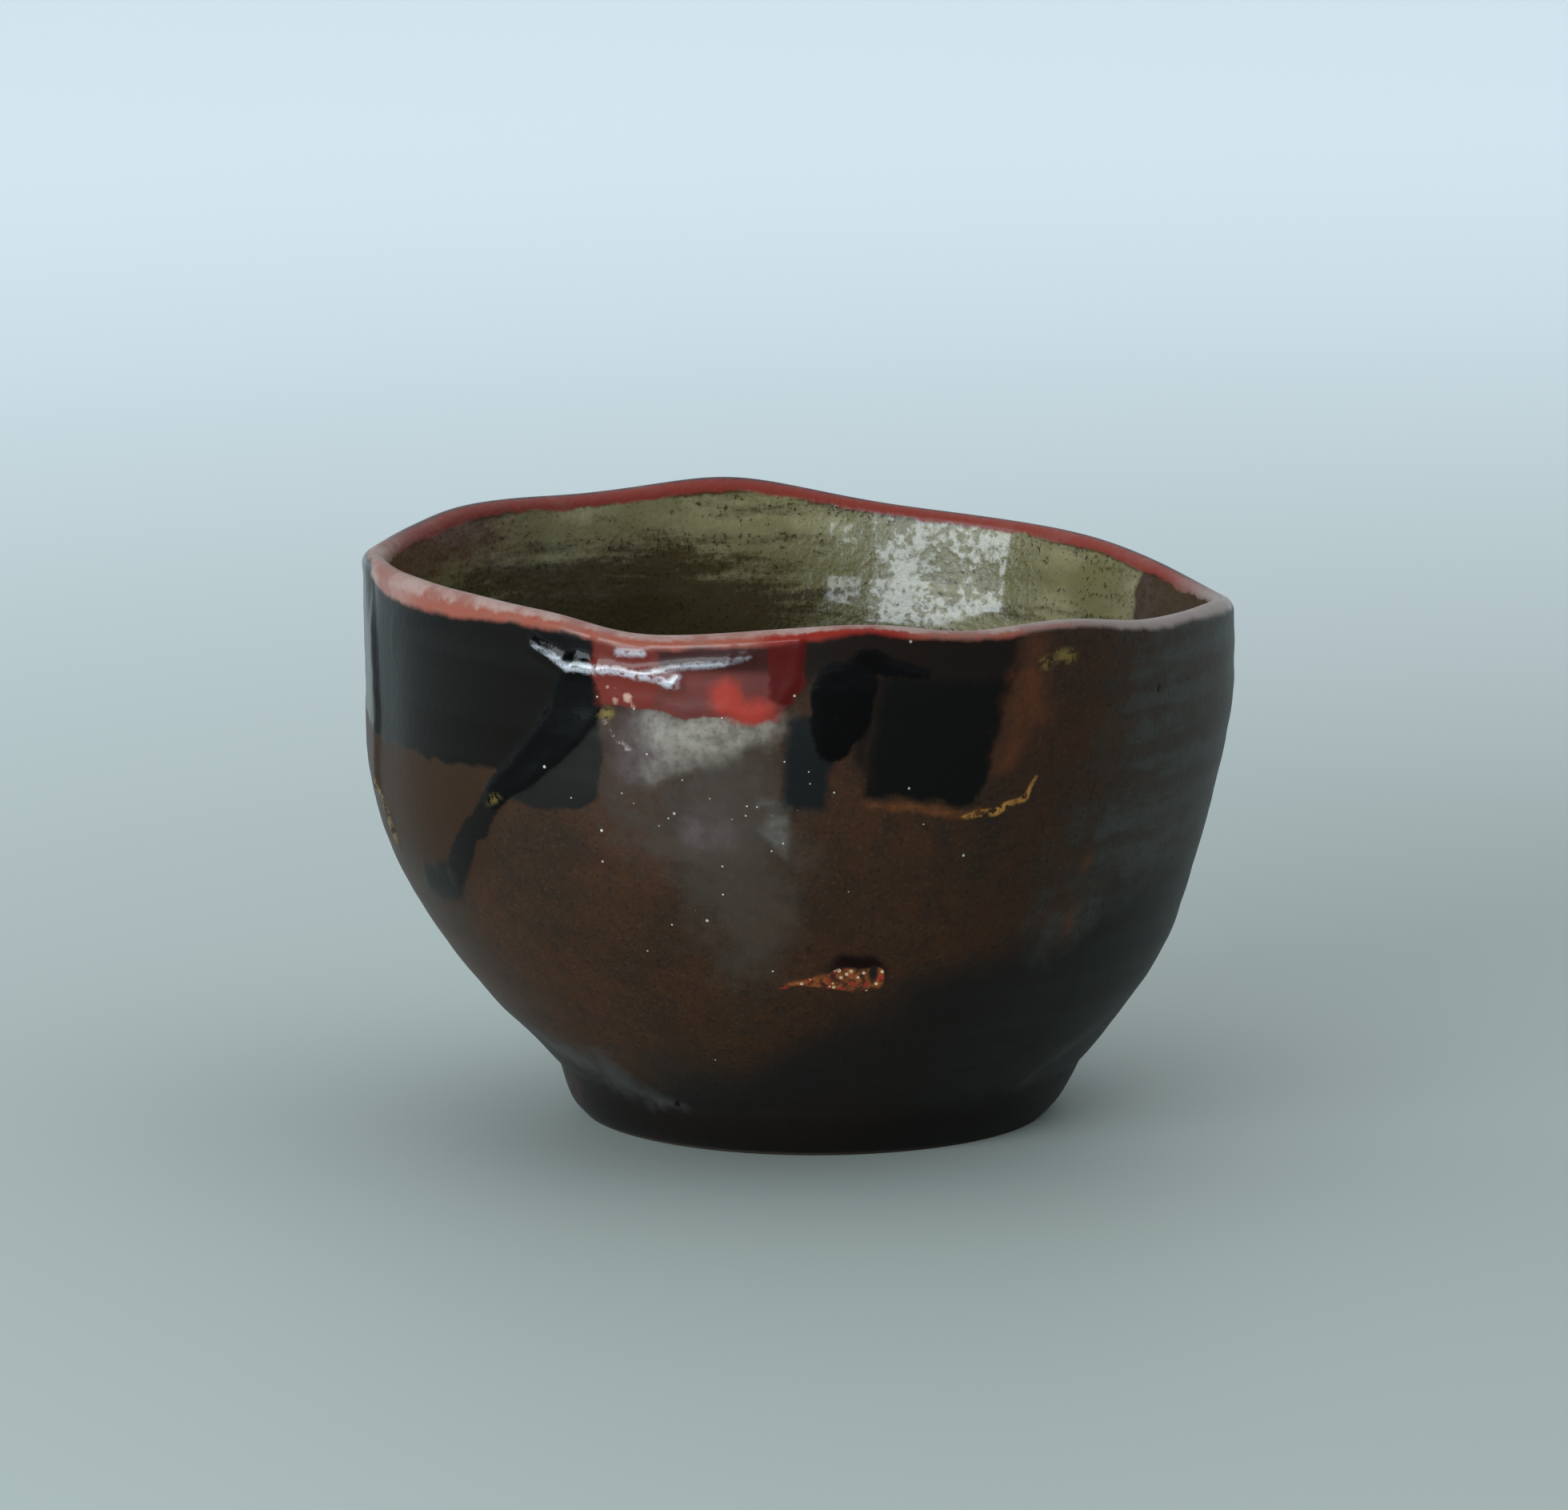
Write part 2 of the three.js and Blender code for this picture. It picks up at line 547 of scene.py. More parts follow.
            ((37.6, 73.4), (1.8, 1.1), 10),
        ],
        "colour": (0.15, 0.105, 0.026),
        "soft": 1.2,
        "skin": "broken",
        "share": 0.9,
    },
    "orangeSpots": {
        "ovals": [((44.8, 43.2), (1.1, 1.3), 0), ((44.2, 34.2), (0.9, 1.9), -15)],
        "colour": (0.1, 0.032, 0.01),
        "soft": 2.2,
        "skin": "cloudy",
        "share": 0.8,
    },
    "darkPit": {
        "ovals": [((55.9, 65.7), (0.55, 0.6), 0), ((-29.5, 7), (0.8, 0.6), 0)],
        "colour": (0.003, 0.003, 0.003),
        "soft": 0.3,
        "rise": -0.35,
    },
    "scarRim": {
        "ovals": [((9.4, 29.9), (4.7, 2.6), -6)],
        "colour": (0.009, 0.002, 0.0012),
        "soft": 1.2,
        "share": 0.9,
        "rise": -0.25,
    },
    "scar": {
        "ribbons": [
            [
                (-3.2, 28.6, 0.15), (1.5, 28.9, 0.6), (6, 29, 1.2),
                (9.2, 28.8, 1.9), (12.6, 28.9, 1.3),
            ],
        ],
        "soft": 0.4,
        "rise": 0.15,
        "rough": 0.16,
        "gloss": 0.5,
    },
    "scarHollow": {
        "ovals": [((9.2, 31.2), (3.2, 0.9), -4), ((11.9, 29.7), (1, 1.1), 0)],
        "colour": (0.006, 0.0012, 0.0008),
        "soft": 0.8,
        "rise": -0.45,
        "rough": 0.14,
    },
    # the back, which the photograph doesn't show, in the same hand but plainer
    "backCharcoal": {
        "outlines": [
            [
                (-42, 80), (-41, 60), (-36, 52.5), (-24, 50),
                (-8, 50.6), (3, 54.5), (7.6, 62), (9, 80),
            ],
            [
                (40, 60), (40.5, 51), (45, 45.5), (56, 43.4), (69, 44),
                (76.5, 48.5), (77.5, 57), (72, 63.5), (56, 65),
            ],
        ],
        "colour": (0.011, 0.0112, 0.0102),
        "soft": 0.9,
        "rise": 0.06,
        "rough": 0.34,
        "centre": 180,
    },
    "backBand": {
        "ribbons": [[(22, 80, 3), (25, 66, 3.2), (36, 54, 2.4), (52, 44, 2)]],
        "colour": (0.0035, 0.0032, 0.0032),
        "soft": 0.5,
        "rise": 0.22,
        "rough": 0.14,
        "centre": 180,
    },
    "backRed": {
        "outlines": [
            [
                (-66.5, 80), (-66, 70.5), (-63.5, 66.4), (-57.5, 64.4),
                (-50.5, 65), (-46.5, 69), (-45, 80),
            ],
        ],
        "colour": (0.1, 0.02, 0.016),
        "soft": 0.6,
        "rise": 0.2,
        "rough": 0.22,
        "centre": 180,
    },
}

# Beads and creases that stand out from whatever glaze is there, and how white their skin is: partly
# white glaze scum, partly a painted highlight
ridges = {
    "leftBead": {
        "ribbons": [
            [
                (-38, 75, 0.3), (-35, 73.8, 0.5), (-32.1, 72.5, 0.6),
                (-26, 72.7, 0.55), (-20.5, 72.1, 0.6), (-16.4, 71.2, 0.4),
            ],
        ],
        "rise": 0.55,
        "whiteAndHighlight": 0.85,
    },
    "rightBead": {
        "ribbons": [[(-21.5, 72.6, 0.3), (-14.7, 74, 0.4), (-6.6, 75.2, 0.25)]],
        "rise": 0.4,
        "whiteAndHighlight": 0.8,
    },
    "smallBeads": {
        "ribbons": [[(-24.6, 75, 0.5), (-21.2, 75.4, 0.5)], [(-17.6, 71.2, 0.6), (-16.2, 72.4, 0.4)]],
        "rise": 0.3,
        "whiteAndHighlight": 0.75,
    },
    "leftFold": {
        "ribbons": [[(-80.5, 78, 0.8), (-79.5, 69, 1.1), (-78.5, 58, 1.1), (-80.5, 48, 0.7)]],
        "rise": 0.45,
    },
    "shortCrease": {"ribbons": [[(-4.6, 55, 0.4), (-0.6, 54.4, 0.5)]], "rise": 0.3},
    "leftRidge": {"ribbons": [[(-80, 49.5, 0.5), (-77.8, 45.5, 0.8), (-76.8, 41, 0.5)]], "rise": 0.3},
}

# Swells and flats that the thrower's hands left: angle in degrees, height in mm, spread round in degrees
# and up in mm, and reach in mm
dents = [
    (-12, 62, 9, 8, 0.35),
    (-84, 60, 6, 18, -0.5),
    (-70, 60, 6, 18, -0.3),
    (-79, 76, 3, 4, -0.7),
    (62, 50, 12, 9, -0.3),
    (75, 33, 14, 5, -0.35),
    (40, 20, 16, 5, -0.25),
    (100, 62, 12, 12, -0.3),
    (150, 50, 16, 12, -0.35),
    (205, 42, 18, 10, -0.35),
    (-35, 30, 14, 9, 0.2),
    (20, 44, 18, 8, 0.2),
    (-60, 8.5, 70, 3, 0.7),
]

# Unevenness from throwing, in two sizes: reach, length round and length up in mm, and the seed
throwing = {
    "outside": [(0.16, 55, 22, 3), (0.05, 90, 3.4, 5)],
    "inside": [(0.1, 120, 2.8, 7), (0.14, 50, 14, 8)],
    "lip": [(0.12, 30, 30, 9), (0.05, 9, 6, 10)],
    "waves": 24,
    "height": 1.6,  # the waves together seldom reach this many times their usual height
}

# How the edges of marks and ridges wander: reach and length in mm, and the first seeds
wander = {
    "steps": [(0.55, 16), (0.3, 5)],
    "seedRound": 11,
    "seedUp": 21,
    "onRidges": 0.4,  # share of it that the narrow ridges get
}

# Sections across the edges, in mm from the outline
edgeShape = {
    "coat": (-0.8, 0.4),
    "ridge": (-0.7, 0.9),
    "thick": 0.1,  # a coat that rises more than this has a bead along its edge
    "bead": 0.35,  # share of the coat's rise
    "beadAt": -0.9,
    "beadSpread": 0.7,
}

# Where the relief comes in, in mm past the lip, over the table and over the floor inside
reliefFrom = {
    "outside": (0.6, 2.2),
    "table": (0.3, 2.2),
    "inside": (1.5, 5),
    "floor": (1, 14),
    "lip": 3,  # spread of the lip's own relief, either way
}


# Soft unevenness that closes on itself round the bowl, between about -1 and 1
def unevenness(angle, height, lengthRound, lengthUp, seed):
    random = np.random.default_rng(seed)
    total = np.zeros(np.broadcast(angle, height).shape)
    for _ in range(throwing["waves"]):
        waves = np.round(random.normal(0, 2 * pi * gauge / lengthRound / 2))
        up = random.normal(0, 1) * pi / lengthUp
        total += np.cos(np.radians(angle) * waves + height * up + random.uniform(0, 2 * pi))
    return total / np.sqrt(throwing["waves"] / 2) / throwing["height"]


# The unevenness of one side, in mm; each of its two sizes may have heights of its own
def thrown(side, angle, *heights):
    waves = zip(throwing[side], heights)
    return sum(reach * unevenness(angle, height, *sizes) for (reach, *sizes), height in waves)


def wanderOf(angle, height, seed):
    steps = enumerate(wander["steps"], seed)
    return sum(reach * unevenness(angle, height, length, length, own) for own, (reach, length) in steps)


# How far each place lies outside each mark and ridge, with edges that wander
def distancesOf(angle, height):
    across, along = [wanderOf(angle, height, wander[seed]) for seed in ("seedRound", "seedUp")]
    distances = {}
    for name, mark in {**marks, **ridges}.items():
        round = np.radians(apart(angle, mark.get("centre", 0))) * gauge
        loose = wander["onRidges"] if name in ridges else 1
        distances[name] = outsideOfMark(round + loose * across, height + loose * along, mark)
    return distances


# How far the fine surface stands over the plain form outside, in mm
def outsideRelief(angle, height, distances):
    total = thrown("outside", angle, height, height)
    for at, level, spreadRound, spreadUp, reach in dents:
        total = total + reach * bell(apart(angle, at), spreadRound) * bell(height - level, spreadUp)
    for name, far in distances.items():
        rise = {**marks, **ridges}[name].get("rise", 0)
        if name in ridges:
            total = total + rise * (1 - fade(far, *edgeShape["ridge"]))
        elif rise:
            thick = rise > edgeShape["thick"]
            bead = bell(far - edgeShape["beadAt"], edgeShape["beadSpread"]) if thick else 0
            total = total + rise * (1 - fade(far, *edgeShape["coat"]) + edgeShape["bead"] * bead)
    return total


def insideRelief(angle, height):
    return thrown("inside", angle, height, height) * fade(height - floorLevel, *reliefFrom["floor"])


def lipRelief(angle, fromLip):
    return thrown("lip", angle, 0 * angle, fromLip)


# The whole surface as rings of points in mm, moved to stand where the solid stands
def bowlSurface():
    radius, height = section()
    turn = np.arange(fineness["around"]) / fineness["around"]
    angle = 360 * turn - fineness["frontward"] * np.sin(2 * pi * turn)
    points = setByHand(radius[:, None], angle[None, :], height[:, None])
    flat = points.reshape(-1, 3)
    solidMiddle = np.array([(low + high) / 2 / mm for low, high in zip(*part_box("bowl"))])
    shift = solidMiddle - (flat.max(0) + flat.min(0)) / 2
    points[..., :2] += shift[:2]
    along = np.concatenate([[0], np.cumsum(np.hypot(np.diff(radius), np.diff(height)))])
    return points, along - along[np.argmax(height)]


def normalsOf(points):
    round = np.roll(points, -1, 1) - np.roll(points, 1, 1)
    along = np.gradient(points, axis=0)
    normals = np.cross(round, along)
    return normals / np.maximum(np.linalg.norm(normals, axis=2, keepdims=True), 1e-9)


def addRelief(points, pastLip):
    angle = np.degrees(np.arctan2(points[..., 0], -points[..., 1]))
    height = points[..., 2]
    past = np.broadcast_to(pastLip[:, None], angle.shape)
    ringMiddle = form["footRadius"] - form["ringWidth"] / 2
    side = (past < 0) & (np.hypot(points[..., 0], points[..., 1]) > ringMiddle)
    distances = distancesOf(angle, height)
    outside = outsideRelief(angle, height, distances) * side * fade(-past, *reliefFrom["outside"])
    outside = outside * fade(height, *reliefFrom["table"])
    inside = insideRelief(angle, height) * fade(past, *reliefFrom["inside"])
    reach = outside + inside + lipRelief(angle, past) * bell(past, reliefFrom["lip"])
    return points + normalsOf(points) * reach[..., None], {"pastLip": past, **distances}


# Rings of values as one value for each vertex: the first and last rings are single points on the axis
def atVertices(rings):
    return np.concatenate([rings[0, :1], rings[1:-1].reshape(-1, *rings.shape[2:]), rings[-1, :1]])


# The mesh, with each measure kept on its vertices under its own name for the materials
def meshOf(points, pastLip, measures):
    rows, columns = points.shape[:2]
    vertices = atVertices(points) * mm
    row, column = np.meshgrid(np.arange(rows - 3), np.arange(columns), indexing="ij")
    low, after = 1 + row * columns, (column + 1) % columns
    corners = [low + column, low + after, low + columns + after, low + columns + column]
    quads = np.stack(corners, -1).reshape(-1, 4)
    last, around = 1 + (rows - 3) * columns, np.arange(columns)
    after = (around + 1) % columns
    under = np.stack([np.zeros(columns, int), 1 + after, 1 + around], -1)
    floor = np.stack([np.full(columns, len(vertices) - 1), last + around, last + after], -1)
    mesh = bpy.data.meshes.new("glazed_bowl")
    mesh.from_pydata(vertices, [], quads.tolist() + under.tolist() + floor.tolist())
    mesh.shade_smooth()
    for name, rings in measures.items():
        kept = mesh.attributes.new(name, "FLOAT", "POINT")
        kept.data.foreach_set("value", atVertices(rings).astype(np.float32))
    # the outside's material goes up to the crest of the lip, the inside's from there on
    inside = row.reshape(-1) + 1 >= int(np.argmin(np.abs(pastLip)))
    slots = np.concatenate([inside, np.zeros(columns), np.ones(columns)]).astype(int)
    mesh.polygons.foreach_set("material_index", slots)
    mesh.update()
    return mesh


# Makes the nodes of one shader tree
class Nodes:
    def __init__(self, tree):
        self.tree = tree
        tree.nodes.clear()

    def node(self, kind, settings=None, sockets=None, out=0):
        made = self.tree.nodes.new("ShaderNode" + kind)
        for name, value in (settings or {}).items():
            setattr(made, name, value)
        for name, value in (sockets or {}).items():
            if isinstance(value, Sock):
                self.tree.links.new(value.socket, made.inputs[name])
            else:
                made.inputs[name].default_value = value
        return Sock(self, made.outputs[out]) if len(made.outputs) else None

    def split(self, vector):
        parts = self.node("SeparateXYZ", {}, {0: vector}).socket.node.outputs
        return [Sock(self, part) for part in parts]

    def scale(self, vector, sizes):
        return self.node("VectorMath", {"operation": "MULTIPLY"}, {0: vector, 1: tuple(sizes)})

    def mix(self, amount, first, second):
        sockets = {0: amount}
        for number, colour in ((6, first), (7, second)):
            sockets[number] = colour if isinstance(colour, Sock) else (*colour, 1)
        return self.node("Mix", {"data_type": "RGBA"}, sockets, 2)


# Sizes in mm of the mottling that every glaze has
mottles = {"clouds": 20, "patches": 6, "blots": 3.5, "grain": 1.3}


# One procedural finish, laid out in mm
class Glaze(Nodes):
    def __init__(self, name):
        self.material = bpy.data.materials.new(name)
        self.material.use_nodes = True
        super().__init__(self.material.node_tree)
        self.position = self.scale(self.node("TexCoord", out="Object"), [1 / mm] * 3)
        self.x, self.y, self.height = self.split(self.position)
        self.shared = {}

    # one noise for everything that mottles at the same size
    def mottle(self, name):
        if name not in self.shared:
            self.shared[name] = self.noise(mottles[name], roughness=0.62)
        return self.shared[name]

    # noise from 0 to 1 with features of about that many mm
    def noise(self, size, detail=3, stretch=(1, 1, 1), roughness=0.55):
        place = self.scale(self.position, [s / size for s in stretch])
        sockets = {"Vector": place, "Scale": 1, "Detail": detail, "Roughness": roughness}
        return self.node("TexNoise", {}, sockets)

    # cells about that many mm apart: how far the nearest middle is, and a random number for each cell
    def cells(self, size):
        place = self.scale(self.position, [1 / size] * 3)
        near = self.node("TexVoronoi", {}, {"Vector": place, "Scale": 1}, "Distance")
        own = Sock(self, near.socket.node.outputs["Color"])
        return near * size, self.split(own)[0]

    # mm round from the front, on the gauge circle
    def round(self):
        return self.node("Math", {"operation": "ARCTAN2"}, {0: self.x, 1: -self.y}) * gauge

    # a measure kept on the mesh under that name
    def measure(self, name):
        return self.node("Attribute", {"attribute_name": name}, {}, "Fac")

    def lengthOf(self, a, b):
        vector = self.node("CombineXYZ", {}, {0: a, 1: b})
        return self.node("VectorMath", {"operation": "LENGTH"}, {0: vector}, "Value")

    # what is the same all over is set on the shader itself
    def finish(self, colour, roughness, specular, bump=None, coat=0.0, coatRoughness=0.05):
        sockets = {
            "Base Color": colour,
            "Roughness": roughness,
            "Specular IOR Level": specular,
            "Coat Weight": coat,
            "Coat Roughness": coatRoughness,
        }
        if bump:
            sockets["Normal"] = self.node("Bump", {}, {"Strength": 1, "Distance": mm, "Height": bump})
        shader = self.node("BsdfPrincipled", {}, sockets)
        self.node("OutputMaterial", {}, {"Surface": shader})
        return self.material


glazeColours = {
    "brown": (0.027, 0.0138, 0.0074),
    "warmBrown": (0.038, 0.0156, 0.0068),
    "darkBrown": (0.0155, 0.0105, 0.0075),
    "charcoal": (0.0065, 0.0063, 0.006),
    # partly painted sheen of the right side
    "greyGreenAndSheen": (0.045, 0.049, 0.043),
    "footBrown": (0.0052, 0.0036, 0.003),
    "bareClay": (0.055, 0.04, 0.032),
    "lightSpeck": (0.08, 0.066, 0.052),
    "darkSpeck": (0.004, 0.003, 0.003),
    # a painted glint on the pinholes
    "pinholeGlint": (0.5, 0.47, 0.42),
    # white scum on the beads, partly a painted highlight
    "scumAndHighlight": (0.42, 0.43, 0.47),
}

scarColours = {
    "dark": (0.035, 0.008, 0.003),
    "orange": (0.23, 0.062, 0.012),
    "red": (0.24, 0.02, 0.01),
    "cream": (0.6, 0.42, 0.26),
}

redColours = {
    "dull": (0.095, 0.024, 0.02),
    "bright": (0.112, 0.026, 0.021),
    "underLip": (0.03, 0.007, 0.0055),
}

lipColours = {
    # pink, lightened in part to stand in for the lip's sheen
    "pinkAndSheen": (0.29, 0.185, 0.16),
    "salmon": (0.21, 0.085, 0.065),
    "orange": (0.22, 0.04, 0.018),
    "red": (0.19, 0.016, 0.01),
    # painted sheen
    "greySheen": (0.225, 0.19, 0.175),
    "purple": (0.045, 0.022, 0.025),
    "deepRed": (0.185, 0.03, 0.021),
}

insideColours = {
    "pale": (0.262, 0.236, 0.13),
    "olive": (0.13, 0.115, 0.052),
    "dark": (0.029, 0.018, 0.006),
    "speck": (0.02, 0.012, 0.005),
    "redBrown": (0.075, 0.022, 0.013),
    "brown": (0.036, 0.0165, 0.011),
}

# Levels of a noise between which one colour gives way to another, covering as much or less
evenly, partly = (0.38, 0.62), (0.38, 0.66)

# Where the lip's colours change, in mm round from the front
lipPlaces = {
    "greySheen": (15, 45),
    "orangeStart": (-75, -58),
    "orangeEnd": (28, 52),
    "redStart": (-7, -3),
    "redEnd": (12, 18),
    "rearRight": (100, 124),
    "rearLeft": (96, 122),
}


# The lip's colours, the same on both sides of its crest: the grey towards the right is painted sheen,
# and the pale pink top is partly painted sheen
def lipColour(glaze, round, past, width):
    cloud, fine = glaze.mottle("patches"), glaze.mottle("grain")
    top = glaze.mix(fade(cloud, *evenly), lipColours["salmon"], lipColours["pinkAndSheen"])
    # painted sheen: the lip's top goes grey towards the right
    top = glaze.mix(fade(round, *lipPlaces["greySheen"]) * 0.8, top, lipColours["greySheen"])
    low = fade(-past / width + (fine - 0.5) * 0.5, 0.45, 0.7)
    orange = low * fade(round, *lipPlaces["orangeStart"]) * (1 - fade(round, *lipPlaces["orangeEnd"]))
    top = glaze.mix(orange * fade(cloud, 0.3, 0.55) * 0.85, top, lipColours["orange"])
    red = low * fade(round, *lipPlaces["redStart"]) * (1 - fade(round, *lipPlaces["redEnd"]))
    top = glaze.mix(red, top, lipColours["red"])
    away = most(fade(round, *lipPlaces["rearRight"]), fade(-round, *lipPlaces["rearLeft"]))
    rear = glaze.mix(fade(past + (fine - 0.5), 0, 0.9), lipColours["purple"], lipColours["deepRed"])
    rear = glaze.mix(fade(cloud, 0.5, 0.7) * 0.25, rear, lipColours["salmon"])
    top = glaze.mix(away, top, rear)
    return glaze.mix(fade(fine, 0.55, 0.85) * 0.4, top, lipColours["deepRed"])


# The scar's bubbles: mm between them, the rings' inner and outer edges in mm, and the levels of a random
# number over which a bubble has its ring, or glints red
scarBubbles = {
    "size": 0.85,
    "inner": (0.04, 0.14),
    "outer": (0.2, 0.3),
    "whole": (0.38, 0.42),
    "glint": (0.84, 0.88),
}


# Burst bubbles: cream rings and red glints in orange glass
def scarColour(glaze):
    far, own = glaze.cells(scarBubbles["size"])
    ring = fade(far, *scarBubbles["inner"]) * (1 - fade(far, *scarBubbles["outer"]))
    ground = glaze.mix(fade(glaze.mottle("grain"), *partly), scarColours["dark"], scarColours["orange"])
    ground = glaze.mix(fade(own, *scarBubbles["glint"]), ground, scarColours["red"])
    return glaze.mix(ring * fade(own, *scarBubbles["whole"]), ground, scarColours["cream"])


# Mottled red, darker over the bead
def redColour(glaze):
    red = glaze.mix(fade(glaze.mottle("blots"), *partly), redColours["dull"], redColours["bright"])
    return glaze.mix(fade(glaze.height, 72.4, 74), red, redColours["underLip"])


# How edges fray, in mm, and how clouds break up the marks that fade over more mm than "softest"
frayed = {"edge": 1.4, "softest": 4, "cloud": 1.6, "bead": 1.2}


# Lays every mark over the ground, in the order that the dictionary has them
def layMarks(glaze, colour, roughness, gloss):
    fine = glaze.mottle("grain")
    own = {"red": redColour(glaze), "scar": scarColour(glaze)}
    # some coats are broken through, others only cloudy
    skins = {
        "broken": fade(fine, 0.42, 0.56),
        "cloudy": 0.4 + 0.6 * fade(fine * 0.6 + glaze.mottle("blots") * 0.4, 0.36, 0.62),
    }
    for name, mark in marks.items():
        soft = mark["soft"]
        far = glaze.measure(name) + (fine - 0.5) * (frayed["edge"] * min(1, soft))
        if soft > frayed["softest"]:
            far = far + (glaze.mottle("patches") - 0.5) * (frayed["cloud"] * soft)
        cover = 1 - fade(far, -soft / 2, soft / 2)
        if "skin" in mark:
            cover = cover * skins[mark["skin"]]
        if "share" in mark:
            cover = cover * mark["share"]
        colour = glaze.mix(cover, colour, own[name] if name in own else mark["colour"])
        if "rough" in mark:
            roughness = roughness + cover * (mark["rough"] - roughness)
        if "gloss" in mark:
            gloss = gloss + cover * (mark["gloss"] - gloss)
    # the thick beads under the lip have a white skin: partly glaze scum, partly a painted highlight of
    # the window
    for name, ridge in ridges.items():
        if "whiteAndHighlight" in ridge:
            cover = 1 - fade(glaze.measure(name) + (fine - 0.5) * frayed["bead"], -0.5, 0.35)
            gloss = gloss + cover * (1 - gloss)
            whiteAndHighlight = cover * fade(fine, 0.33, 0.52) * ridge["whiteAndHighlight"]
            colour = glaze.mix(whiteAndHighlight, colour, glazeColours["scumAndHighlight"])
    return colour, roughness, gloss


# Where the outside's ground changes, in mm round from the front
outsidePlaces = {
    "greyStart": (38, 60),
    "greyEnd": (118, 135),
    "shadeEnd": (105, 170),
    "lipNarrow": (74, 86),
}

# The wall is charcoal under this height in mm, which rises to the right by mm, from and to mm round
shadeLine = {"height": 11, "rises": [(14, -16, 10), (6.5, 8, 34), (6, 42, 54)]}

# Painted glints: white specks on pinholes, mm between them, their radius in mm and the share of places
# without one.
# They thin out from the middle of an oval left of the front, where the painted sheen is
pinholes = {"kinds": [(3.8, 0.27, 0.4), (1.7, 0.17, 0.55)], "middle": (-13, 50), "halves": (28, 22)}

# How far the lip's glaze comes down in mm, and further to the left by mm, from and to mm round
lipDepth = {"outside": 1.9, "further": [(0.8, -8, 4), (1.6, 30, 60)], "inside": 2.6}


def outsideGlaze():
    glaze = Glaze("dark_glazes")
    height, round = glaze.height, glaze.round()
    past = glaze.measure("pastLip")
    cloud, mottle, fine = [glaze.mottle(name) for name in ("clouds", "blots", "grain")]
    grain = glaze.noise(0.55, detail=1)
    colour = glaze.mix(fade(cloud, *evenly), glazeColours["brown"], glazeColours["warmBrown"])
    dark = fade(mottle * 0.6 + fine * 0.4, 0.42, 0.66) * 0.6
    colour = glaze.mix(dark, colour, glazeColours["darkBrown"])
    # grey-green over the right third, from a line that leans to the right, streaked as it was thrown; it
    # is partly glaze and partly painted sheen of the grazing reflection on that side
    streaks = glaze.noise(3, stretch=(0.12, 0.12, 1))
    leaning = round + (mottle - 0.5) * 16 - (height - 60) * 0.35
    right = fade(leaning, *outsidePlaces["greyStart"]) * (1 - fade(round, *outsidePlaces["greyEnd"]))
    greyed = right * (0.35 + 0.65 * fade(streaks * 0.6 + mottle * 0.4, 0.4, 0.62))
    colour = glaze.mix(greyed, colour, glazeColours["greyGreenAndSheen"])
    roughness = 0.34 + 0.12 * cloud + right * 0.05
    # the lower wall goes to charcoal, higher up on the right
    rightward = 0
    for rise, start, end in shadeLine["rises"]:
        rightward = rise * fade(round, start, end) + rightward
    line = shadeLine["height"] + rightward * (1 - fade(round, *outsidePlaces["shadeEnd"]))
    low = 1 - fade(height - line + (cloud - 0.5) * 12 + (mottle - 0.5) * 6, -5, 6)
    colour = glaze.mix(low * 0.85, colour, glazeColours["charcoal"])
    foot = 1 - fade(height, 4, 9)
    colour = glaze.mix(foot * 0.8, colour, glazeColours["footBrown"])
    # fine light and dark specks in the brown
    light = fade(grain, 0.58, 0.75) * (0.16 - 0.14 * low)
    colour = glaze.mix(light, colour, glazeColours["lightSpeck"])
    colour = glaze.mix(fade(1 - grain, 0.58, 0.75) * 0.45, colour, glazeColours["darkSpeck"])
    colour, roughness, gloss = layMarks(glaze, colour, roughness, 0.0)
    # painted glints: white specks on the pinholes
    (across, up), (halfAcross, halfUp) = pinholes["middle"], pinholes["halves"]
    spread = glaze.lengthOf((round - across) / halfAcross, (height - up) / halfUp)
    for size, wide, without in pinholes["kinds"]:
        far, own = glaze.cells(size)
        pinhole = (1 - fade(far, wide * 0.5, wide)) * fade(own - spread * 0.35, without, without + 0.03)
        colour = glaze.mix(pinhole * (0.2 + 0.75 * own), colour, glazeColours["pinholeGlint"])
    # the lip's pink glaze, with its painted sheen, comes down over the rest
    depth = lipDepth["outside"]
    for more, start, end in lipDepth["further"]:
        depth = depth + more * fade(-round, start, end)
    narrowed = 1 - 0.8 * fade(-round, *outsidePlaces["lipNarrow"])
    width = depth * narrowed + (glaze.mottle("patches") - 0.5) * 1.8
    lip = 1 - fade(-past - width, -0.5, 0.5)
    colour = glaze.mix(lip, colour, lipColour(glaze, round, past, width))
    roughness = roughness + lip * (0.36 - roughness)
    gloss = gloss + lip * (0.18 - gloss)
    # bare clay where the ring stands
    bare = 1 - fade(height, 0.15, 0.6)
    colour = glaze.mix(bare, colour, glazeColours["bareClay"])
    roughness = roughness + bare * (0.85 - roughness)
    bump = 0.04 * fine
    return glaze.finish(colour, roughness, specular=0.11, bump=bump, coat=gloss, coatRoughness=0.08)


# Where the inside's colours change, in mm: "left" across, "low", "brownUp" and "pool" up,
# "washDown" past the lip, and the others round from the front
insidePlaces = {
    "left": (-32, 35),
    "low": (76, 57),
    "brownStart": (40, 56),
    "brownEnd": (128, 129.5),
    "brownUp": (24, 46),
    "washStart": (40, 70),
    "washEnd": (125, 150),
    "washDown": (5, 11),
    "pool": (13, 26),
}


